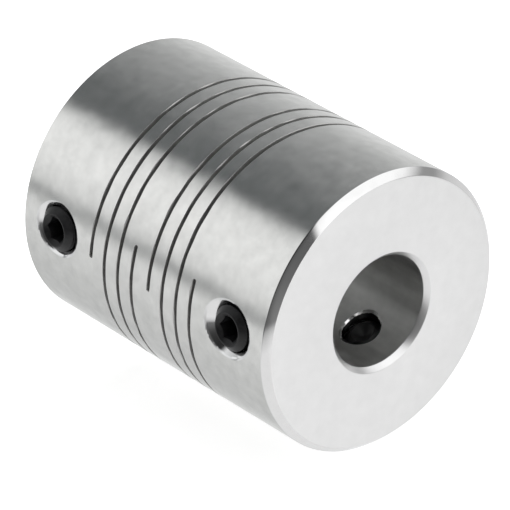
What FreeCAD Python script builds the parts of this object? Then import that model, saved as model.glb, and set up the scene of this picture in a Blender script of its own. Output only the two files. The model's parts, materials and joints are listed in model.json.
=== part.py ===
"""Helical beam shaft coupling with set screws, 10 mm bores, millimetres.

The shaft axis is X, +Z is up and the origin is the centre of the coupling. End a is at -X and end b at +X.
An angle about the shaft axis counts from +Z towards +Y.

The body is one turned aluminium tube. Two groups of helical slots go through its wall. Each group is a pair
of left-hand slots, half a turn apart, that leave two interleaved helical beams between the solid sections:
hub_a, beam_a1 and beam_a2, centre_ring, beam_b1 and beam_b2, hub_b. The sections meet face to face.
"""
import FreeCAD, Part
import math
import os
import Sketcher
from FreeCAD import Placement, Rotation, Vector

# Alias, value, what it is. Lengths are in millimetres and angles in degrees.
DIMENSIONS = (
    ("outer_diameter", 25.4, "outside of the tube"),
    ("overall_length", 31.8, "end face to end face"),
    ("bore_diameter", 10.0, "shaft bore, right through"),
    ("rim_chamfer", 0.6, "45 degree chamfer at the outer rim of each end"),
    ("bore_chamfer", 0.45, "45 degree chamfer at the bore mouth of each end"),
    ("slot_width", 0.38, "helical slot, along the shaft axis"),
    ("slot_lead", 3.52, "axial climb of a slot in one turn"),
    ("slot_rise", 5.43, "axial climb of a slot from its start to its end"),
    ("slot_start_angle", -88.4, "where the first slot of each group starts, at its -X end"),
    ("group_spacing", 7.45, "middle of one slot group to the middle of the other"),
    ("screw_inset", 4.9, "screw hole axis from the end face"),
    ("screw_angle_1", -85.0, "first screw of each hub"),
    ("screw_angle_2", 155.0, "second screw of each hub, 120 degrees on"),
    ("screw_hole_diameter", 4.1, "M4 hole with its running clearance"),
    ("hole_lip_diameter", 3.4, "narrow inner end of the hole, the size of the M4 tapping drill"),
    ("hole_lip_height", 0.55, "the lip, from the bore's crest to the 45 degree cone that opens to the hole"),
    ("sink_diameter", 5.4, "90 degree countersink at the crest of the tube"),
    ("screw_diameter", 3.96, "outside of the M4 thread"),
    ("screw_length", 6.0, "set screw, tip to socket face"),
    ("screw_recess_a1", -0.35, "socket face below the crest; this one stands a little proud"),
    ("screw_recess_a2", 1.3, "socket face below the crest"),
    ("screw_recess_b1", 0.0, "socket face below the crest; this one is flush"),
    ("screw_recess_b2", 1.3, "socket face below the crest"),
    ("socket_width", 2.0, "hexagon socket across flats"),
    ("socket_depth", 2.3, "hexagon socket"),
    ("face_chamfer", 0.3, "45 degree chamfer at the socket face"),
    ("cup_diameter", 2.0, "cup point, at its rim"),
    ("cup_depth", 0.55, "cup recess"),
    ("cup_rim", 0.08, "flat rim round the cup"),
)

# Room that a cutting tool runs past the wall it cuts, so that no faces coincide.
OVERRUN = 1.0

ENDS = {"a": -1, "b": 1}
SCREWS = (1, 2)

# Places along +X from the origin to the +X end, as expressions of the sheet.
CREST = "dims.outer_diameter / 2"
BORE_WALL = "dims.bore_diameter / 2"
END_FACE = "dims.overall_length / 2"
HUB_FACE = "(dims.group_spacing + dims.slot_rise + dims.slot_width) / 2"
RING_FACE = "(dims.group_spacing - dims.slot_rise - dims.slot_width) / 2"

doc = FreeCAD.newDocument("beam_coupling")


def make_sheet():
    """The driving dimensions, one row each: value, alias, note."""
    sheet = doc.addObject("Spreadsheet::Sheet", "dims")
    for row, (alias, value, note) in enumerate(DIMENSIONS, 1):
        sheet.set(f"A{row}", str(value))
        sheet.set(f"B{row}", note)
        sheet.setAlias(f"A{row}", alias)
    doc.recompute()
    return sheet


def new_body(name):
    body = doc.addObject("PartDesign::Body", name)
    body.Label = name
    return body


def new_sketch(body, name, plane_role):
    """A sketch on one of the body's own origin planes."""
    sketch = body.newObject("Sketcher::SketchObject", name)
    plane = next(item for item in body.Origin.OriginFeatures if item.Role == plane_role)
    sketch.AttachmentSupport = [(plane, "")]
    sketch.MapMode = "FlatFace"
    return sketch


def value_of(expression):
    """The number that an expression of the sheet gives now."""
    return float(dims.evalExpression(expression.replace("dims.", "")))


def draw_outline(sketch, corners):
    """A closed outline of straight edges, each corner held to the sketch origin by its two expressions."""
    points = [Vector(value_of(across), value_of(up), 0) for across, up in corners]
    for start, end in zip(points, points[1:] + points[:1]):
        sketch.addGeometry(Part.LineSegment(start, end), False)
    for edge in range(len(points)):
        sketch.addConstraint(Sketcher.Constraint("Coincident", edge, 2, (edge + 1) % len(points), 1))
    for edge, corner in enumerate(corners):
        for direction, expression in zip(("DistanceX", "DistanceY"), corner):
            distance = Sketcher.Constraint(direction, -1, 1, edge, 1, value_of(expression))
            sketch.setExpression(f"Constraints[{sketch.addConstraint(distance)}]", expression)


def revolve(body, sketch, kind, axis_name):
    """Turn a sketch round one of its own axes, as a Revolution or a Groove."""
    feature = body.newObject(f"PartDesign::{kind}", f"{sketch.Name}_turn")
    feature.Profile = sketch
    feature.ReferenceAxis = (sketch, [axis_name])
    feature.Angle = 360
    sketch.Visibility = False
    doc.recompute()
    return feature


def make_hub(end):
    """A plain hub: tube section with chamfered end face, and two radial screw holes."""
    side = ENDS[end]
    body = new_body(f"hub_{end}")
    section = new_sketch(body, f"hub_{end}_section", "XZ_Plane")
    draw_outline(section, (
        (f"{side} * {HUB_FACE}", BORE_WALL),
        (f"{side} * ({END_FACE} - dims.bore_chamfer)", BORE_WALL),
        (f"{side} * {END_FACE}", f"{BORE_WALL} + dims.bore_chamfer"),
        (f"{side} * {END_FACE}", f"{CREST} - dims.rim_chamfer"),
        (f"{side} * ({END_FACE} - dims.rim_chamfer)", CREST),
        (f"{side} * {HUB_FACE}", CREST),
    ))
    solid = revolve(body, section, "Revolution", "H_Axis")
    for number in SCREWS:
        before = solid.Shape.Volume
        solid = cut_screw_hole(body, end, number)
        assert solid.Shape.Volume < before, f"screw hole {number} of hub_{end} cuts nothing"
    return body


def cut_screw_hole(body, end, number):
    """A radial hole: a narrow lip at the bore, a 45 degree cone, the hole, and a 90 degree countersink.

    The screw's cup point sits in the cone when it is screwed right in. The sketch plane holds both the shaft
    axis and the hole axis, and its origin is where they cross.
    """
    sketch = new_sketch(body, f"screw_hole_{end}{number}", "XZ_Plane")
    sketch.AttachmentOffset = Placement(Vector(1, 0, 0), Rotation(Vector(1, 0, 0), 1))
    sketch.setExpression("AttachmentOffset.Base.x", f"{ENDS[end]} * ({END_FACE} - dims.screw_inset)")
    sketch.setExpression("AttachmentOffset.Rotation.Angle", f"-dims.screw_angle_{number}")
    lip_wall = "dims.hole_lip_diameter / 2"
    lip_top = f"{BORE_WALL} + dims.hole_lip_height"
    hole_wall = "dims.screw_hole_diameter / 2"
    sink_wall = "dims.sink_diameter / 2"
    draw_outline(sketch, (
        ("0", f"{BORE_WALL} - {OVERRUN}"),
        (lip_wall, f"{BORE_WALL} - {OVERRUN}"),
        (lip_wall, lip_top),
        (hole_wall, f"{lip_top} + {hole_wall} - {lip_wall}"),
        (hole_wall, f"{CREST} - {sink_wall} + {hole_wall}"),
        (f"{sink_wall} + {OVERRUN}", f"{CREST} + {OVERRUN}"),
        ("0", f"{CREST} + {OVERRUN}"),
    ))
    return revolve(body, sketch, "Groove", "V_Axis")


def make_centre_ring():
    """The short solid ring between the two slot groups."""
    body = new_body("centre_ring")
    section = new_sketch(body, "centre_ring_section", "XZ_Plane")
    draw_outline(section, (
        (f"-{RING_FACE}", BORE_WALL),
        (RING_FACE, BORE_WALL),
        (RING_FACE, CREST),
        (f"-{RING_FACE}", CREST),
    ))
    revolve(body, section, "Revolution", "H_Axis")
    return body


def make_slot(number):
    """The space of one helical slot, round local Z, starting at local angle 0 or 180 degrees."""
    path = doc.addObject("Part::Helix", f"slot_path_{number}")
    path.LocalCoord = "Left-handed"
    path.setExpression("Pitch", "dims.slot_lead")
    path.setExpression("Height", "dims.slot_rise")
    path.setExpression("Radius", CREST)
    section = doc.addObject("Part::Plane", f"slot_section_{number}")
    section.setExpression("Length", f"{CREST} - {BORE_WALL} + 2 * {OVERRUN}")
    section.setExpression("Width", "dims.slot_width")
    section.Placement = Placement(Vector(1, 0, 1), Rotation(Vector(1, 0, 0), 90))
    section.setExpression("Placement.Base.x", f"{BORE_WALL} - {OVERRUN}")
    section.setExpression("Placement.Base.z", "-dims.slot_width / 2")
    slot = doc.addObject("Part::Sweep", f"slot_{number}")
    slot.Sections = [section]
    slot.Spine = (path, [])
    slot.Solid = True
    slot.Frenet = True
    slot.Placement = Placement(Vector(0, 0, 1), Rotation(Vector(0, 0, 1), 180 * (number - 1)))
    slot.setExpression("Placement.Base.z", "-dims.slot_rise / 2")
    return slot


def make_slot_group():
    """One slotted stretch of the tube, centred on the origin with its axis along Z: two loose beams."""
    walls = []
    for name, radius in (("group_outside", CREST), ("group_bore", BORE_WALL)):
        wall = doc.addObject("Part::Cylinder", name)
        wall.setExpression("Radius", radius)
        wall.setExpression("Height", "dims.slot_rise + dims.slot_width")
        wall.setExpression("Placement.Base.z", "-(dims.slot_rise + dims.slot_width) / 2")
        walls.append(wall)
    solid = doc.addObject("Part::Cut", "group_tube")
    solid.Base, solid.Tool = walls
    for number in (1, 2):
        slotted = doc.addObject("Part::Cut", f"group_slotted_{number}")
        slotted.Base, slotted.Tool = solid, make_slot(number)
        solid = slotted
    doc.recompute()
    return solid


def make_beams(group, end):
    """The two helical beams of one end, copied from the slotted stretch and laid along X."""
    start = math.radians(value_of("dims.slot_start_angle"))
    towards_start = Vector(0, math.sin(start), math.cos(start))
    along_shaft = Vector(1, 0, 0)
    place = Placement(
        along_shaft * (ENDS[end] * value_of("dims.group_spacing") / 2),
        Rotation(towards_start, along_shaft.cross(towards_start), along_shaft, "ZXY"),
    )
    strips = sorted(group.Shape.Solids, key=lambda strip: strip.CenterOfMass.y)
    assert len(strips) == 2, "the slots must leave exactly two beams"
    beams = []
    for number, strip in enumerate(strips, 1):
        beam = doc.addObject("Part::Feature", f"beam_{end}{number}")
        beam.Label = f"beam_{end}{number}"
        beam.Shape = strip
        beam.Placement = place
        beams.append(beam)
    return beams


def make_set_screw(end, number):
    """A cup-point set screw with a hexagon socket, tip at the local origin and socket face up local Z."""
    name = f"set_screw_{end}{number}"
    body = new_body(name)
    thread = "dims.screw_diameter / 2"
    cup = "dims.cup_diameter / 2"
    section = new_sketch(body, f"{name}_section", "XZ_Plane")
    draw_outline(section, (
        ("0", "dims.cup_depth"),
        (cup, "0"),
        (f"{cup} + dims.cup_rim", "0"),
        (thread, f"{thread} - {cup} - dims.cup_rim"),
        (thread, "dims.screw_length - dims.face_chamfer"),
        (f"{thread} - dims.face_chamfer", "dims.screw_length"),
        ("0", "dims.screw_length"),
    ))
    blank = revolve(body, section, "Revolution", "V_Axis")

    hexagon = new_sketch(body, f"{name}_hexagon", "XY_Plane")
    hexagon.AttachmentOffset = Placement(Vector(0, 0, 1), Rotation())
    hexagon.setExpression("AttachmentOffset.Base.z", "dims.screw_length")
    draw_outline(hexagon, [
        (f"dims.socket_width / sqrt(3) * cos({60 * corner} deg)",
         f"dims.socket_width / sqrt(3) * sin({60 * corner} deg)")
        for corner in range(6)
    ])
    socket = body.newObject("PartDesign::Pocket", f"{name}_socket")
    socket.Profile = hexagon
    socket.setExpression("Length", "dims.socket_depth")
    hexagon.Visibility = False
    doc.recompute()
    assert socket.Shape.Volume < blank.Shape.Volume, f"the socket of {name} cuts nothing"

    angle = f"dims.screw_angle_{number} * 1 deg"
    tip_radius = f"({CREST} - dims.screw_recess_{end}{number} - dims.screw_length)"
    body.Placement = Placement(Vector(1, 1, 1), Rotation(Vector(1, 0, 0), 1))
    body.setExpression("Placement.Rotation.Angle", f"-dims.screw_angle_{number}")
    body.setExpression("Placement.Base.x", f"{ENDS[end]} * ({END_FACE} - dims.screw_inset)")
    body.setExpression("Placement.Base.y", f"{tip_radius} * sin({angle})")
    body.setExpression("Placement.Base.z", f"{tip_radius} * cos({angle})")
    return body


def check(pieces):
    """Stop if anything in the document failed, or a piece isn't one valid solid."""
    for item in doc.Objects:
        assert not {"Invalid", "Error"} & set(item.State), f"{item.Label} failed: {item.State}"
    for piece in pieces:
        shape = piece.Shape
        assert not shape.isNull() and shape.isValid(), f"{piece.Label} has no valid shape"
        assert len(shape.Solids) == 1, f"{piece.Label} is {len(shape.Solids)} solids"


def main():
    group = make_slot_group()
    pieces = [make_hub(end) for end in ENDS]
    pieces.append(make_centre_ring())
    for end in ENDS:
        pieces += make_beams(group, end)
        pieces += [make_set_screw(end, number) for number in SCREWS]
    doc.recompute()
    check(pieces)
    os.makedirs("parts", exist_ok=True)
    for piece in pieces:
        piece.Shape.exportStep(f"parts/{piece.Label}.step")
        box = piece.Shape.BoundBox
        print(f"{piece.Label:14s} {piece.Shape.Volume:9.2f} mm3  x {box.XMin:.2f} to {box.XMax:.2f}")


dims = make_sheet()
main()
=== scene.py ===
"""Looks of the helical beam coupling: a turned and slotted aluminium tube with four black set screws.

The shaft axis is X and an angle about it counts from +Z towards +Y. Metres, in the frame's own axes.
"""

import json
import math

import bmesh
import bpy
import numpy as np
from mathutils import Matrix, Vector


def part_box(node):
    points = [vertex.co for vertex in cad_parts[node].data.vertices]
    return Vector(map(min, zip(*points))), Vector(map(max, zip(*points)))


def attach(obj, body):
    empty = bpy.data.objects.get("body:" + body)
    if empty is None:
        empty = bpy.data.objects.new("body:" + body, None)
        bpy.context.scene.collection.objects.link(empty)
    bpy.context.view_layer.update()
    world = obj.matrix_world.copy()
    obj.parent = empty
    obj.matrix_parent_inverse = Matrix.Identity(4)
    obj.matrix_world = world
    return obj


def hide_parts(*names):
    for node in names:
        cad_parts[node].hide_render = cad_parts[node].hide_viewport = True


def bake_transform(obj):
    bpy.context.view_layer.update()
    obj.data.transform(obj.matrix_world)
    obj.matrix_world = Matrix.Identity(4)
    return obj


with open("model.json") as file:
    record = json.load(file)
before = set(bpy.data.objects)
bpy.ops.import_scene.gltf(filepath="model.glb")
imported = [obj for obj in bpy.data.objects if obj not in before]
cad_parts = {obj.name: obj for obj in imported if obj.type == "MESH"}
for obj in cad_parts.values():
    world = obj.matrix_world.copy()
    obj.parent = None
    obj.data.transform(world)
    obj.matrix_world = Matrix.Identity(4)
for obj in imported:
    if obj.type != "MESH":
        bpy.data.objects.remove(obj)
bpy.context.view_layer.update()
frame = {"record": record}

MM = 0.001

# ---------------------------------------------------------------- sizes that the frame gives
LENGTH_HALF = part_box("hub_b")[1].x
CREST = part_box("hub_b")[1].z
HUB_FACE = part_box("hub_b")[0].x
RING_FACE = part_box("centre_ring")[1].x
BORE = frame["record"]["mounts"][0]["dims"]["r_mm"] * MM
SCREW_PLACE = sum(corner.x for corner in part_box("set_screw_b1")) / 2

# ---------------------------------------------------------------- sizes of the tube's details
RIM_CHAMFER = 0.6 * MM
BORE_CHAMFER = 0.45 * MM
EDGE_ROUND = 0.06 * MM
SLOT_WIDTH = 0.38 * MM
SLOT_LEAD = 3.52 * MM
SLOT_START = math.radians(-88.4)
SLOT_RISE = HUB_FACE - RING_FACE - SLOT_WIDTH
SLOT_TURN = SLOT_RISE / SLOT_LEAD * 2 * math.pi
GROUP_MIDDLE = (HUB_FACE + RING_FACE) / 2
SLICES = 3  # of each slotted stretch, one for each joint in it

# A saw never cuts quite true: how far a slot's half width and its middle wander, and the number added to
# the slot's own seed for each. An edge break is its mean width, how far that wanders, and its number.
WIDTH_WANDER, WIDTH_SEED = 0.007 * MM, 0
PATH_WANDER, PATH_SEED = 0.004 * MM, 50
EDGE_BREAKS = ((0.02 * MM, 0.025 * MM, 90), (0.012 * MM, 0.01 * MM, 130))
LEAST_BREAK = 0.006 * MM
WANDER_WAVES = 10
WANDER_RATES = (20, 350)

# ---------------------------------------------------------------- sizes of the screws and their holes
ENDS = {"a": -1, "b": 1}
SCREW_ANGLES = {1: math.radians(-85), 2: math.radians(155)}
# Each screw's head is this far below the crest, and the screw is turned this far about its own axis.
SCREW_RECESS = {"a1": -0.35 * MM, "a2": 1.3 * MM, "b1": 0.0, "b2": 1.3 * MM}
SCREW_TURNS = {"a1": math.pi, "a2": 0.3, "b1": 0.0, "b2": 0.2}
SCREW_LENGTH = 6 * MM
SCREW_RADIUS = 1.98 * MM
THREAD_PITCH = 0.7 * MM
THREAD_DEPTH = 0.36 * MM
THREAD_FLATS = (0.125, 0.25)  # at the crest and the root, as shares of the pitch
FACE_CHAMFER = 0.5 * MM
CUP_RADIUS = 1.0 * MM
CUP_RIM = 0.08 * MM
CUP_DEPTH = 0.55 * MM
SOCKET_WIDTH = 2 * MM
SOCKET_DEPTH = 2.3 * MM
DRILL_SHARE = 0.98  # of the socket's half width: its drilled bottom
MOUTH_CHAMFER = 0.22 * MM
MOUTH_SHARE = 0.9  # of the same: the mouth's cone where it ends inside the socket
HOLE_RADIUS = 2.05 * MM
HOLE_THREAD = 0.2 * MM  # its depth
HOLE_FLATS = (0.25, 0.125)
LIP_RADIUS = 1.7 * MM
LIP_HEIGHT = 0.55 * MM
LIP_BREAK = 0.14 * MM
LIP_BURR = 0.24 * MM
SINK_RADIUS = {"a": 2.6 * MM, "b": 2.75 * MM}
SINK_BREAK = 0.08 * MM
SINK_FLARE = 2  # how much wider the broken edge gets for each step up

# ---------------------------------------------------------------- how fine the meshes are
ROUND_STEPS = 360
RING_ROW = 0.4 * MM
BEAM_ROW = 0.25 * MM
SLOT_ROWS = 500
SLOT_END_ROWS = 6
SLOT_END_BLUNT = 0.12  # radians of a slot's round end left off, so that it ends in a face
HOLE_COLUMNS = 96
LIP_ROW = 0.06 * MM
HOLE_ROW = 0.045 * MM
SCREW_COLUMNS = 84
SCREW_ROW = 0.035 * MM
CONE_COLUMNS = 48
POINT_RADIUS = 0.02 * MM  # of the tiny flat that ends a cone, in place of a point
OVERRUN = 0.4 * MM  # how far a space that is cut away reaches past the metal
HOLE_OVERRUN = 0.3 * MM  # the same at the top of a screw hole
CLEAN_DISTANCE = 0.000005 * MM  # edges shorter than this are the cutting's leftovers
SHARP_ANGLE = math.radians(22)
ROUND_FACING = 0.995  # how much the faces of a round wall look along the radius
FLAT_FACING = 0.9  # and those of an end face along X
SKIN = 0.01 * MM  # how far off its radius a face of a round wall may be


# ---------------------------------------------------------------- mesh tools
def mesh_object(name, points, faces):
    mesh = bpy.data.meshes.new(name)
    mesh.from_pydata([tuple(p) for p in points], [], faces)
    mesh.validate()
    mesh.update()
    made = bpy.data.objects.new(name, mesh)
    bpy.context.scene.collection.objects.link(made)
    return made


def grid_faces(rows, columns, close_rows=False):
    """Quads of a grid whose columns wrap round, and whose rows may."""
    faces = []
    for i in range(rows if close_rows else rows - 1):
        a, b = i * columns, (i + 1) % rows * columns
        for j in range(columns):
            k = (j + 1) % columns
            faces.append((a + j, a + k, b + k, b + j))
    return faces


def capped_grid(rows, columns):
    """Faces of a closed solid made of rows of points, with a cap over the first row and the last."""
    last = (rows - 1) * columns
    caps = [tuple(range(columns))[::-1], tuple(range(last, last + columns))]
    return grid_faces(rows, columns) + caps


def round_corners(outline, radius, steps=3):
    """An outline with each corner but the first and last replaced by a short curve of about that radius."""
    points = [outline[0]]
    for before, corner, after in zip(outline, outline[1:], outline[2:]):
        towards = [np.subtract(p, corner) for p in (before, after)]
        start, end = (np.add(corner, d / np.linalg.norm(d) * radius) for d in towards)
        for s in np.linspace(0, 1, steps + 1):
            points.append(start * (1 - s) ** 2 + 2 * np.array(corner) * s * (1 - s) + end * s ** 2)
    return points + [outline[-1]]


def lathe(name, outline):
    """A closed outline of (along X, radius) points turned round the X axis: a solid ring."""
    angles = np.arange(ROUND_STEPS) * 2 * math.pi / ROUND_STEPS
    points = [(x, r * math.sin(a), r * math.cos(a)) for x, r in outline for a in angles]
    return mesh_object(name, points, grid_faces(len(outline), ROUND_STEPS, close_rows=True))


def turned_solid(name, heights, radius_of, columns):
    """A closed solid round local Z, whose radius is a function of the row, the height and the angles."""
    angles = np.arange(columns) * 2 * math.pi / columns
    points = []
    for row, height in enumerate(heights):
        for a, r in zip(angles, radius_of(row, height, angles)):
            points.append((r * math.cos(a), r * math.sin(a), height))
    return make_outward(mesh_object(name, points, capped_grid(len(heights), columns)))


def cone_solid(name, heights, radii, columns=CONE_COLUMNS):
    """A closed cone, cylinder or prism between two heights of local Z."""
    return turned_solid(name, heights, lambda row, *_: [radii[row]] * columns, columns)


def make_outward(made):
    """Turn a closed mesh's faces so that they look outwards."""
    mesh = made.data
    mesh.calc_loop_triangles()
    co = np.array([v.co for v in mesh.vertices])
    tri = np.array([t.vertices for t in mesh.loop_triangles])
    volume = np.einsum("ij,ij->i", co[tri[:, 0]], np.cross(co[tri[:, 1]], co[tri[:, 2]])).sum()
    if volume < 0:
        mesh.flip_normals()
    return made


def cut_away(target, spaces):
    """Cut closed meshes out of a closed mesh. They are used up."""
    for space in spaces:
        modifier = target.modifiers.new("cut", "BOOLEAN")
        modifier.operation = "DIFFERENCE"
        modifier.solver = "MANIFOLD"
        modifier.object = space
    view = bpy.context.evaluated_depsgraph_get()
    result = bpy.data.meshes.new_from_object(target.evaluated_get(view))
    target.modifiers.clear()
    cleaner = bmesh.new()
    cleaner.from_mesh(result)
    bmesh.ops.dissolve_degenerate(cleaner, dist=CLEAN_DISTANCE, edges=cleaner.edges)
    cleaner.to_mesh(result)
    cleaner.free()
    target.data = result
    for space in spaces:
        bpy.data.objects.remove(space)
    return target


# ---------------------------------------------------------------- the turned tube
def tube_section(name, start, end, row_step):
    """A plain ring of tube between two places along X, with rows close enough to bend."""
    rows = np.linspace(start, end, max(2, round((end - start) / row_step) + 1))
    outline = [(x, BORE) for x in rows] + [(x, CREST) for x in rows[::-1]]
    return make_outward(lathe(name, outline))


def end_section(name, side):
    """One end of the tube: chamfered at the rim and the bore mouth, with every turned edge just broken."""
    made = lathe(name, round_corners([
        (HUB_FACE, BORE),
        (LENGTH_HALF - BORE_CHAMFER, BORE),
        (LENGTH_HALF, BORE + BORE_CHAMFER),
        (LENGTH_HALF, CREST - RIM_CHAMFER),
        (LENGTH_HALF - RIM_CHAMFER, CREST),
        (HUB_FACE, CREST),
    ], EDGE_ROUND))
    if side < 0:
        made.data.transform(Matrix.Rotation(math.pi, 4, "Z"))
    return make_outward(made)


def wander(share, seed, size):
    """A small smooth wandering along a cut, of about the size given and the same at every run."""
    slow, fast = WANDER_RATES
    waves = np.random.default_rng(seed).uniform((slow, 0), (fast, 2 * math.pi), (WANDER_WAVES, 2))
    return size * sum(np.sin(rate * share + phase) for rate, phase in waves) / math.sqrt(WANDER_WAVES / 2)


def slot_space(side, number):
    """The space of one helical slot: nearly parallel walls, edges broken at the crest, and rounded ends."""
    end_turn = SLOT_WIDTH / 2 / CREST
    rounding = end_turn * (1 - np.cos(np.linspace(SLOT_END_BLUNT, math.pi / 2, SLOT_END_ROWS)))
    turn = np.concatenate([
        rounding,
        np.linspace(end_turn, SLOT_TURN - end_turn, SLOT_ROWS)[1:-1],
        SLOT_TURN - rounding[::-1],
    ])
    seed = 10 * number + side + 1
    share = turn / SLOT_TURN
    from_end = np.minimum(turn, SLOT_TURN - turn) / end_turn
    half = SLOT_WIDTH / 2 + wander(share, seed + WIDTH_SEED, WIDTH_WANDER)
    half = half * np.sqrt(1 - np.clip(1 - from_end, 0, 1) ** 2)
    middle = side * GROUP_MIDDLE + SLOT_RISE * (share - 0.5)
    middle = middle + wander(share, seed + PATH_SEED, PATH_WANDER)
    breaks = [np.clip(mean + wander(share, seed + extra, spread), LEAST_BREAK, None)
              for mean, spread, extra in EDGE_BREAKS]
    angle = SLOT_START + math.pi * number + turn
    points = []
    for m, h, low, high, a in zip(middle, half, *breaks, angle):
        outline = [
            (BORE - OVERRUN, m - h),
            (CREST - low, m - h),
            (CREST + OVERRUN, m - h - low - OVERRUN),
            (CREST + OVERRUN, m + h + high + OVERRUN),
            (CREST - high, m + h),
            (BORE - OVERRUN, m + h),
        ]
        points += [(x, r * math.sin(a), r * math.cos(a)) for r, x in outline]
    return make_outward(mesh_object("slot_space", points, capped_grid(len(turn), len(outline))))


# ---------------------------------------------------------------- threads, holes and screws
def thread_share(height, angle, flats):
    """How far between crest (0) and root (1) a right-hand thread is at a height and angle."""
    crest_flat, root_flat = flats
    from_crest = np.abs((height / THREAD_PITCH - angle / (2 * math.pi) + 0.5) % 1 - 0.5)
    return np.clip((from_crest - crest_flat / 2) / (0.5 - (crest_flat + root_flat) / 2), 0, 1)


def along_radius(end, number, turn=0.0):
    """The place of a screw or hole: local Z is the outward radius, and the origin is on the shaft axis."""
    return (Matrix.Translation((ENDS[end] * SCREW_PLACE, 0, 0))
            @ Matrix.Rotation(-SCREW_ANGLES[number], 4, "X")
            @ Matrix.Rotation(turn, 4, "Z"))


def hole_space(end, number):
    """The space of a tapped screw hole, from a narrow lip at the bore to the countersink at the crest."""
    lip_top = BORE + LIP_HEIGHT
    cone_top = lip_top + HOLE_RADIUS - LIP_RADIUS
    sink_start = CREST - (SINK_RADIUS[end] - HOLE_RADIUS)
    heights = np.concatenate([
        [BORE - 2 * OVERRUN],
        np.arange(BORE - OVERRUN, lip_top, LIP_ROW),
        [lip_top, cone_top],
        np.arange(cone_top, CREST + HOLE_OVERRUN, HOLE_ROW)[1:],
    ])

    def radius(_, height, angles):
        wall = min(HOLE_RADIUS, max(LIP_RADIUS, LIP_RADIUS + height - lip_top))
        fade = min(1, max(0, min(height - cone_top, sink_start - height) / THREAD_PITCH))
        groove = HOLE_THREAD * fade * thread_share(height, angles, HOLE_FLATS)
        bore_wall = np.sqrt(BORE ** 2 - (LIP_RADIUS * np.sin(angles)) ** 2)
        burr = np.clip(bore_wall + LIP_BREAK - height, 0, LIP_BURR)
        sink = HOLE_RADIUS + height - sink_start
        crest_wall = np.sqrt(CREST ** 2 - (sink * np.sin(angles)) ** 2)
        flare = np.clip(height - crest_wall + SINK_BREAK, 0, None) * SINK_FLARE
        return np.maximum(wall + groove + burr, sink + flare)

    space = turned_solid("hole_space", heights, radius, HOLE_COLUMNS)
    space.data.transform(along_radius(end, number))
    return space


def socket_spaces():
    """The spaces of the screw's hexagon socket: the hexagon, its drilled bottom and its chamfered mouth."""
    flat = SOCKET_WIDTH / 2
    corner = SOCKET_WIDTH / math.sqrt(3)
    bottom, top = SCREW_LENGTH - SOCKET_DEPTH, SCREW_LENGTH + OVERRUN
    narrow = flat * MOUTH_SHARE
    wide = corner + MOUTH_CHAMFER
    return [
        cone_solid("socket", (bottom, top), (corner, corner), columns=6),
        cone_solid("drill", (bottom - flat / 2, bottom + OVERRUN), (POINT_RADIUS, flat * DRILL_SHARE)),
        cone_solid("mouth", (SCREW_LENGTH - wide + narrow, top), (narrow, wide + OVERRUN)),
    ]


def set_screw(end, number):
    """A threaded cup-point set screw with its hexagon socket."""
    key = f"{end}{number}"
    thread_rows = np.arange(0, SCREW_LENGTH, SCREW_ROW)[1:]
    heights = np.concatenate([[CUP_DEPTH, 0, 0], thread_rows, [SCREW_LENGTH, SCREW_LENGTH]])
    set_rows = {0: POINT_RADIUS, 1: CUP_RADIUS, len(heights) - 1: POINT_RADIUS}  # the cup and the middle

    def radius(row, height, angles):
        if row in set_rows:
            return np.full(len(angles), set_rows[row])
        fade = min(1, max(0, (SCREW_LENGTH - FACE_CHAMFER - height) / THREAD_PITCH))
        groove = THREAD_DEPTH * fade * thread_share(height, angles, THREAD_FLATS)
        point = CUP_RADIUS + CUP_RIM + height
        face = SCREW_RADIUS - FACE_CHAMFER + SCREW_LENGTH - height
        return np.minimum(SCREW_RADIUS - groove, min(point, face))

    screw = turned_solid(f"threaded_set_screw_{key}", heights, radius, SCREW_COLUMNS)
    cut_away(screw, socket_spaces())
    tip = CREST - SCREW_RECESS[key] - SCREW_LENGTH
    screw.data.transform(along_radius(end, number, SCREW_TURNS[key]) @ Matrix.Translation((0, 0, tip)))
    return screw


# ---------------------------------------------------------------- shading of the finished meshes
def read(elements, field, width, kind=float):
    """One field of a mesh's elements, as an array: a row for each element where the width is over 1."""
    values = np.zeros(len(elements) * width, kind)
    elements.foreach_get(field, values)
    return values.reshape(-1, width) if width > 1 else values


def finish_mesh(made, materials):
    """Smooth faces with crisp edges between them, and the materials that they may wear."""
    mesh = made.data
    mesh.materials.clear()
    for material in materials:
        mesh.materials.append(material)
    mesh.polygons.foreach_set("use_smooth", np.ones(len(mesh.polygons), bool))
    mesh.set_sharp_from_angle(angle=SHARP_ANGLE)
    mesh.update()
    return mesh


def set_round_normals(mesh, walls):
    """Exact round normals on the walls: pairs of the faces chosen and 1 for outwards or -1 for inwards."""
    normals = read(mesh.corner_normals, "vector", 3)
    spots = read(mesh.vertices, "co", 3)[read(mesh.loops, "vertex_index", 1, np.int32)]
    sizes = read(mesh.polygons, "loop_total", 1, np.int32)
    for chosen, sign in walls:
        corners = np.repeat(chosen, sizes)
        outward = spots[corners] * (0, 1, 1)
        normals[corners] = sign * outward / np.linalg.norm(outward, axis=1)[:, None]
    mesh.normals_split_custom_set(normals.tolist())


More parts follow.
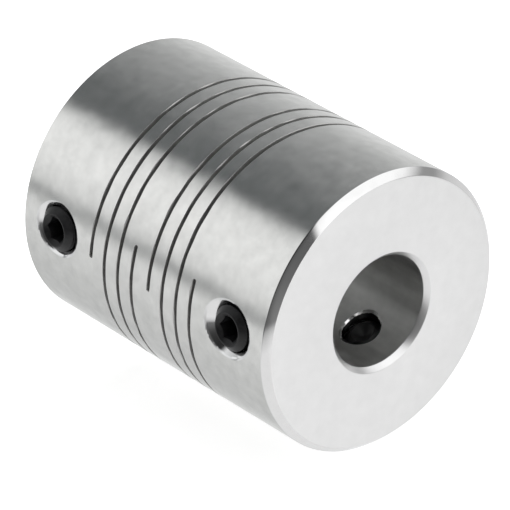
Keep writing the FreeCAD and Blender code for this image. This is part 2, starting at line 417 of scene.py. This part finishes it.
def dress_tube(made):
    """A material for each kind of wall of a piece of the tube, and exact normals on its round walls."""
    mesh = finish_mesh(made, TUBE_SHADES)
    normal = read(mesh.polygons, "normal", 3)
    middle = read(mesh.polygons, "center", 3)
    radius = np.hypot(middle[:, 1], middle[:, 2])
    radial = (normal[:, 1:] * middle[:, 1:]).sum(1) / radius
    on_crest = (radial > ROUND_FACING) & (radius > CREST - SKIN)
    in_bore = (radial < -ROUND_FACING) & (radius < BORE + SKIN)
    at_end = (np.abs(middle[:, 0]) > LENGTH_HALF - RIM_CHAMFER - EDGE_ROUND) & ~on_crest & ~in_bore
    bore_side = radius < (BORE + CREST) / 2
    faced = at_end & ((np.abs(normal[:, 0]) > FLAT_FACING) | bore_side)
    in_hole = np.abs(middle[:, 0]) > HUB_FACE + EDGE_ROUND
    # All other walls are the slots' sawn walls, whose darker colour is partly painted shade.
    sawn_and_shaded = len(TUBE_SHADES) - 1
    which = np.select([on_crest, faced, at_end, in_bore, in_hole], range(sawn_and_shaded), sawn_and_shaded)
    mesh.polygons.foreach_set("material_index", which.astype(np.int32))
    set_round_normals(mesh, ((on_crest, 1), (in_bore, -1)))


# ---------------------------------------------------------------- materials
NOISE_SPAN = (0.25, 0.75)  # nearly all of a noise's values
RING_SKEW = 0.6  # how much a step outwards counts as one along X, so that the end faces have rings
FINE_LENGTH = 9 * MM
BROAD_LENGTH = 14 * MM
BROAD_SPACING = 6  # times the fine grooves' spacing
BROAD_HEIGHT = 2  # times the fine grooves' height
BROAD_SHADE = (-0.04, 0.02)  # what the broad grooves add to the roughness, as shares of it
CLOUD_SIZE = 1.8 * MM
CLOUD_SHADE = (0.88, 1.06)  # the roughness in the clouds and between them, as shares of it
WAVE_SIZE = 4.5 * MM
STAIN_SIZE = 1.1 * MM
STAIN_DETAIL = 6.0
STAIN_LIFT = 0.7  # how much lighter the metal gets, as a share of how much darker
MARK_LENGTH = 16 * MM
MARK_WIDTH = 1.6 * MM
MARK_LIFT = 0.5  # the same
SMEAR_ROTATION = 0.25  # of a turn, from the direction round the axis
OXIDE_COLOUR = (0.010, 0.010, 0.0105)
OXIDE_SPECKLE = 0.5 * MM
OXIDE_NOISE = (4.0, 0.6)  # its detail and roughness
OXIDE_ROUGHNESS = (0.30, 0.48)
OXIDE_WEAR = (0.6, 1.6)
OXIDE_GRAIN = 0.004 * MM
OXIDE_SHINE = 0.36


def new_material(name):
    """A material with its node tree and its main shader."""
    material = bpy.data.materials.new(name)
    material.use_nodes = True
    return material, material.node_tree, material.node_tree.nodes["Principled BSDF"]


def add(tree, kind, inputs=(), **settings):
    """A node with its settings, and with inputs set to values or linked to sockets."""
    node = tree.nodes.new(kind)
    for name, value in settings.items():
        setattr(node, name, value)
    for key, value in dict(inputs).items():
        if isinstance(value, bpy.types.NodeSocket):
            tree.links.new(value, node.inputs[key])
        else:
            node.inputs[key].default_value = value
    return node


def calc(tree, operation, first, second=0.0, third=0.0):
    """A Math node's result."""
    return add(tree, "ShaderNodeMath", {0: first, 1: second, 2: third}, operation=operation).outputs[0]


def scale(tree, vector, size):
    """A vector or colour times a number."""
    node = add(tree, "ShaderNodeVectorMath", {0: vector, "Scale": size}, operation="SCALE")
    return node.outputs[0]


def noise(tree, vector, detail=2.0, rough=0.5):
    settings = {"Vector": vector, "Scale": 1.0, "Detail": detail, "Roughness": rough}
    return add(tree, "ShaderNodeTexNoise", settings).outputs["Fac"]


def stretched_noise(tree, along, y, z, spacing, length):
    """Noise with one grain size along an axis that may be skewed, and another across Y and Z."""
    parts = {
        "X": calc(tree, "MULTIPLY", along, 1 / spacing),
        "Y": calc(tree, "MULTIPLY", y, 1 / length),
        "Z": calc(tree, "MULTIPLY", z, 1 / length),
    }
    return noise(tree, add(tree, "ShaderNodeCombineXYZ", parts).outputs[0])


def remap(tree, value, low, high):
    """Noise's usual span stretched to run from low to high."""
    least, most = NOISE_SPAN
    span = {"Value": value, "From Min": least, "From Max": most, "To Min": low, "To Max": high}
    return add(tree, "ShaderNodeMapRange", span).outputs["Result"]


def bumps(tree, layers):
    """Bump nodes on top of each other, for pairs of a height and its depth, the coarsest first."""
    normal = None
    for height, depth in layers:
        node = add(tree, "ShaderNodeBump", {"Height": height, "Distance": depth, "Strength": 1.0})
        if normal:
            tree.links.new(normal, node.inputs["Normal"])
        normal = node.outputs[0]
    return normal


def turned_metal(name, colour, roughness, stretch, groove, groove_height, wave_height,
                 stain=0.03, streak=0.0):
    """Bare aluminium off the lathe: fine grooves round the axis, and a faint cloudy unevenness.

    stretch is how much the grooves smear reflections, and groove is their spacing. The heights are the
    depths of the grooves and of the slow waviness. stain and streak are how much darker the cloudy stains
    and the tool's marks along the axis are.
    """
    material, tree, shader = new_material(name)
    place = add(tree, "ShaderNodeTexCoord").outputs["Object"]
    x, y, z = add(tree, "ShaderNodeSeparateXYZ", {0: place}).outputs
    squares = calc(tree, "ADD", calc(tree, "MULTIPLY", y, y), calc(tree, "MULTIPLY", z, z))
    along = calc(tree, "ADD", x, calc(tree, "MULTIPLY", calc(tree, "SQRT", squares), RING_SKEW))

    fine = stretched_noise(tree, along, y, z, groove, FINE_LENGTH)
    broad = stretched_noise(tree, along, y, z, groove * BROAD_SPACING, BROAD_LENGTH)
    marks = stretched_noise(tree, x, y, z, MARK_LENGTH, MARK_WIDTH)
    cloud = noise(tree, scale(tree, place, 1 / CLOUD_SIZE), 1.0)
    wave = noise(tree, scale(tree, place, 1 / WAVE_SIZE), 1.0)
    stains = noise(tree, scale(tree, place, 1 / STAIN_SIZE), STAIN_DETAIL)

    tone = calc(tree, "MULTIPLY", remap(tree, stains, 1 - stain, 1 + stain * STAIN_LIFT),
                remap(tree, marks, 1 - streak, 1 + streak * MARK_LIFT))
    tree.links.new(scale(tree, colour, tone), shader.inputs["Base Color"])
    shade = calc(tree, "ADD", remap(tree, cloud, *(roughness * share for share in CLOUD_SHADE)),
                 remap(tree, broad, *(roughness * share for share in BROAD_SHADE)))
    tree.links.new(shade, shader.inputs["Roughness"])
    layers = ((wave, wave_height), (broad, groove_height * BROAD_HEIGHT), (fine, groove_height))
    normal = bumps(tree, layers)
    tree.links.new(normal, shader.inputs["Normal"])
    tangent = add(tree, "ShaderNodeTangent", direction_type="RADIAL", axis="X").outputs[0]
    tree.links.new(tangent, shader.inputs["Tangent"])
    shader.inputs["Metallic"].default_value = 1.0
    shader.inputs["Anisotropic"].default_value = stretch
    shader.inputs["Anisotropic Rotation"].default_value = SMEAR_ROTATION
    return material


def black_oxide():
    """Blackened steel: a dark, slightly oily skin, worn a little lighter in places."""
    material, tree, shader = new_material("black_oxide_steel")
    place = add(tree, "ShaderNodeTexCoord").outputs["Object"]
    speckle = noise(tree, scale(tree, place, 1 / OXIDE_SPECKLE), *OXIDE_NOISE)
    colour = scale(tree, OXIDE_COLOUR, remap(tree, speckle, *OXIDE_WEAR))
    tree.links.new(colour, shader.inputs["Base Color"])
    tree.links.new(remap(tree, speckle, *OXIDE_ROUGHNESS), shader.inputs["Roughness"])
    tree.links.new(bumps(tree, ((speckle, OXIDE_GRAIN),)), shader.inputs["Normal"])
    shader.inputs["Specular IOR Level"].default_value = OXIDE_SHINE
    return material


CREST_METAL = turned_metal("turned_aluminium", (0.873, 0.87, 0.85), roughness=0.25, stretch=0.7,
                           groove=0.07 * MM, groove_height=0.0004 * MM, wave_height=0.08 * MM, stain=0.09)
FACE_METAL = turned_metal("faced_aluminium", (0.90, 0.90, 0.90), roughness=0.34, stretch=0.2,
                          groove=0.06 * MM, groove_height=0.0006 * MM, wave_height=0.006 * MM)
CHAMFER_METAL = turned_metal("chamfered_aluminium", (0.88, 0.88, 0.88), roughness=0.10, stretch=0.3,
                             groove=0.05 * MM, groove_height=0.0004 * MM, wave_height=0.006 * MM)
BORE_METAL = turned_metal("reamed_aluminium", (0.88, 0.88, 0.87), roughness=0.37, stretch=0.3,
                          groove=0.09 * MM, groove_height=0.0004 * MM, wave_height=0.03 * MM,
                          stain=0.1, streak=0.25)
HOLE_METAL = turned_metal("drilled_aluminium", (0.88, 0.88, 0.88), roughness=0.13, stretch=0.0,
                          groove=0.08 * MM, groove_height=0.0004 * MM, wave_height=0.006 * MM)
# The slots' sawn walls get a darker colour: partly the duller sawn surface, and partly painted shade for the
# deep, narrow slots.
SAWN_AND_SHADED_METAL = turned_metal("sawn_aluminium_painted_shade", (0.68, 0.68, 0.67), roughness=0.60, stretch=0.0,
                          groove=0.12 * MM, groove_height=0.003 * MM, wave_height=0.02 * MM)
TUBE_SHADES = [CREST_METAL, FACE_METAL, CHAMFER_METAL, BORE_METAL, HOLE_METAL, SAWN_AND_SHADED_METAL]
BLACK_STEEL = black_oxide()


# ---------------------------------------------------------------- the coupling
def add_centre_ring():
    ring = tube_section("turned_centre_ring", -RING_FACE, RING_FACE, RING_ROW)
    dress_tube(ring)
    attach(ring, "centre_ring")
    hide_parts("centre_ring")


def add_hub(end):
    hub = end_section(f"turned_hub_{end}", ENDS[end])
    cut_away(hub, [hole_space(end, number) for number in SCREW_ANGLES])
    dress_tube(hub)
    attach(hub, f"hub_{end}")
    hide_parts(f"hub_{end}")


def add_slot_group(end):
    """The slotted stretch as three slices, one for each joint in it."""
    side = ENDS[end]
    places = np.linspace(-HUB_FACE, -RING_FACE, SLICES + 1)
    if side > 0:
        places = np.linspace(RING_FACE, HUB_FACE, SLICES + 1)
    stands_for = [[f"beam_{end}1"], [f"beam_{end}1", f"beam_{end}2"], [f"beam_{end}2"]]
    for index in range(SLICES):
        start, stop = places[index], places[index + 1]
        piece = tube_section(f"helical_beams_{end}{index + 1}", start, stop, BEAM_ROW)
        cut_away(piece, [slot_space(side, number) for number in (0, 1)])
        dress_tube(piece)
        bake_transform(piece)
        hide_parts(*stands_for[index])


def add_set_screw(end, number):
    screw = set_screw(end, number)
    finish_mesh(screw, [BLACK_STEEL])
    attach(screw, f"set_screw_{end}{number}")
    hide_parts(f"set_screw_{end}{number}")


add_centre_ring()
for letter in ENDS:
    add_hub(letter)
    add_slot_group(letter)
    for one in SCREW_ANGLES:
        add_set_screw(letter, one)


# ---------------------------------------------------------------- studio
CAMERA_AZIMUTH = math.radians(49.09)
CAMERA_ELEVATION = math.radians(29.63)
CAMERA_DISTANCE = 385.9 * MM
CAMERA_AIM = Vector((0.40, -0.42, -1.01)) * MM
CAMERA_LENS = 322.5
CAMERA_SENSOR = 36
CAMERA_CLIP = 0.01

# The soft light of the room round the shaft axis, as pairs of an angle from straight up towards +Y and the
# brightness there. Behind is the -X half of the room, and before is the +X half, which hub_b's end looks at.
ROOM_BEHIND = (
    (-180, 0.57), (-165, 0.60), (-147, 0.63), (-130, 0.70), (-107, 0.80), (-102, 0.31), (-96, 0.31),
    (-91, 0.78), (-78, 0.88), (-60, 0.95), (-45, 0.90), (-35, 0.83), (-23, 0.125), (-10, 0.105), (0, 0.11),
    (23, 0.20), (45, 0.31), (67, 0.42), (83, 0.60), (97, 0.73), (125, 0.93), (140, 1.03), (152, 0.77),
    (165, 0.60), (180, 0.57),
)
ROOM_BEFORE = (
    (-180, 0.81), (-122, 0.81), (-112, 0.62), (-106, 0.42), (-101, 0.12), (-89, 0.10), (-64, 0.045),
    (-38, 0.02), (-22, 0.02), (-15, 1.00), (0, 1.10), (50, 1.10), (58, 1.00), (64, 0.72), (70, 0.32),
    (78, 0.32), (86, 0.62), (95, 0.70), (110, 0.73), (123, 0.85), (140, 0.85), (160, 0.81), (180, 0.81),
)
BEHIND_TINT = (-0.008, 0.0, 0.004)
NO_TINT = (0.0, 0.0, 0.0)
BEFORE_STARTS = (-0.50, -0.14)  # along X of the looking direction, where the one half turns into the other
END_GLOW = 0.10  # extra light in the direction of the shaft
GLOW_STARTS = (0.58, 0.74)

FLOOR_SIZE = 1.5
FLOOR_DROP = 4.5 * MM  # keeps the floor clear of every pose
FLOOR_COLOUR = (0.95, 0.95, 0.95)
FLOOR_GLOW = 0.6
BACKDROP_SIZE = 1.4
BACKDROP_COLOUR = (0, 0, 0)  # its white is all glow
BACKDROP_GLOW = 1.0
STAGE_ROUGHNESS = 0.9
LAMP_SIZE = 1.2
LAMP_POWER = 5.0
LAMP_PLACE = (0.1, -0.1, 0.9)


def soft_step(tree, value, starts, top=1.0):
    """A smooth rise from 0 to the top between two values."""
    span = {"Value": value, "From Min": starts[0], "From Max": starts[1], "To Max": top}
    return add(tree, "ShaderNodeMapRange", span, interpolation_type="SMOOTHSTEP").outputs["Result"]


def light_ramp(tree, share, stops, tint):
    """The brightness stops as a colour ramp over the share of a whole turn."""
    ramp = add(tree, "ShaderNodeValToRGB", {"Fac": share})
    elements = ramp.color_ramp.elements
    elements.remove(elements[-1])
    for index, (angle, light) in enumerate(stops):
        element = elements.new(angle / 360 + 0.5) if index else elements[0]
        element.color = (*(light + part for part in tint), 1)
    return ramp.outputs["Color"]


def make_room():
    """The light of the studio, as a world that changes with the angle about the shaft axis."""
    world = bpy.data.worlds.new("studio")
    bpy.context.scene.world = world
    world.use_nodes = True
    tree = world.node_tree
    looking = add(tree, "ShaderNodeTexCoord").outputs["Generated"]
    x, y, z = add(tree, "ShaderNodeSeparateXYZ", {0: looking}).outputs
    share = calc(tree, "MULTIPLY_ADD", calc(tree, "ARCTAN2", y, z), 1 / (2 * math.pi), 0.5)
    behind = light_ramp(tree, share, ROOM_BEHIND, BEHIND_TINT)
    before = light_ramp(tree, share, ROOM_BEFORE, NO_TINT)
    mixed = add(tree, "ShaderNodeMix", data_type="RGBA")
    tree.links.new(soft_step(tree, x, BEFORE_STARTS), mixed.inputs["Factor"])
    tree.links.new(behind, mixed.inputs[6])
    tree.links.new(before, mixed.inputs[7])
    glow = soft_step(tree, x, GLOW_STARTS, END_GLOW)
    lit = add(tree, "ShaderNodeVectorMath", {0: mixed.outputs[2], 1: glow})
    tree.links.new(lit.outputs[0], tree.nodes["Background"].inputs["Color"])


def add_stage(made, name, colour, glow):
    """Give a stage object its plain glowing material, and keep it out of the metal's reflections."""
    material, _, shader = new_material(name)
    shader.inputs["Base Color"].default_value = (*colour, 1)
    shader.inputs["Roughness"].default_value = STAGE_ROUGHNESS
    shader.inputs["Emission Color"].default_value = (1, 1, 1, 1)
    shader.inputs["Emission Strength"].default_value = glow
    made.data.materials.append(material)
    made.visible_glossy = False


def make_floor():
    """A pale floor under the coupling."""
    level = -CREST - FLOOR_DROP
    corners = [(x * FLOOR_SIZE, y * FLOOR_SIZE, level) for x, y in ((-1, -1), (1, -1), (1, 1), (-1, 1))]
    floor = mesh_object("floor", corners, [(0, 1, 2, 3)])
    add_stage(floor, "pale_floor", FLOOR_COLOUR, FLOOR_GLOW)


def make_backdrop():
    """A round white wall far behind, that only the camera sees."""
    wall = cone_solid("backdrop", (-BACKDROP_SIZE, BACKDROP_SIZE), (BACKDROP_SIZE, BACKDROP_SIZE))
    wall.visible_diffuse = False
    wall.visible_transmission = False
    wall.visible_shadow = False
    add_stage(wall, "white_backdrop", BACKDROP_COLOUR, BACKDROP_GLOW)


def make_lamp():
    """A soft light overhead that only the floor and the screws see."""
    lamp = bpy.data.lights.new("overhead", "AREA")
    lamp.shape = "SQUARE"
    lamp.size = LAMP_SIZE
    lamp.energy = LAMP_POWER
    overhead = bpy.data.objects.new("overhead", lamp)
    overhead.location = LAMP_PLACE
    overhead.visible_glossy = False
    overhead.visible_camera = False
    bpy.context.scene.collection.objects.link(overhead)


def make_camera():
    lens = bpy.data.cameras.new("camera")
    lens.lens = CAMERA_LENS
    lens.sensor_width = CAMERA_SENSOR
    lens.clip_start = CAMERA_CLIP
    camera = bpy.data.objects.new("camera", lens)
    level = math.cos(CAMERA_ELEVATION)
    back = Vector((
        math.sin(CAMERA_AZIMUTH) * level,
        -math.cos(CAMERA_AZIMUTH) * level,
        math.sin(CAMERA_ELEVATION),
    ))
    camera.location = CAMERA_AIM + back * CAMERA_DISTANCE
    camera.rotation_mode = "QUATERNION"
    camera.rotation_quaternion = (-back).to_track_quat("-Z", "Y")
    bpy.context.scene.collection.objects.link(camera)
    bpy.context.scene.camera = camera


make_room()
make_floor()
make_backdrop()
make_lamp()
make_camera()
bpy.context.scene.view_settings.view_transform = "Standard"
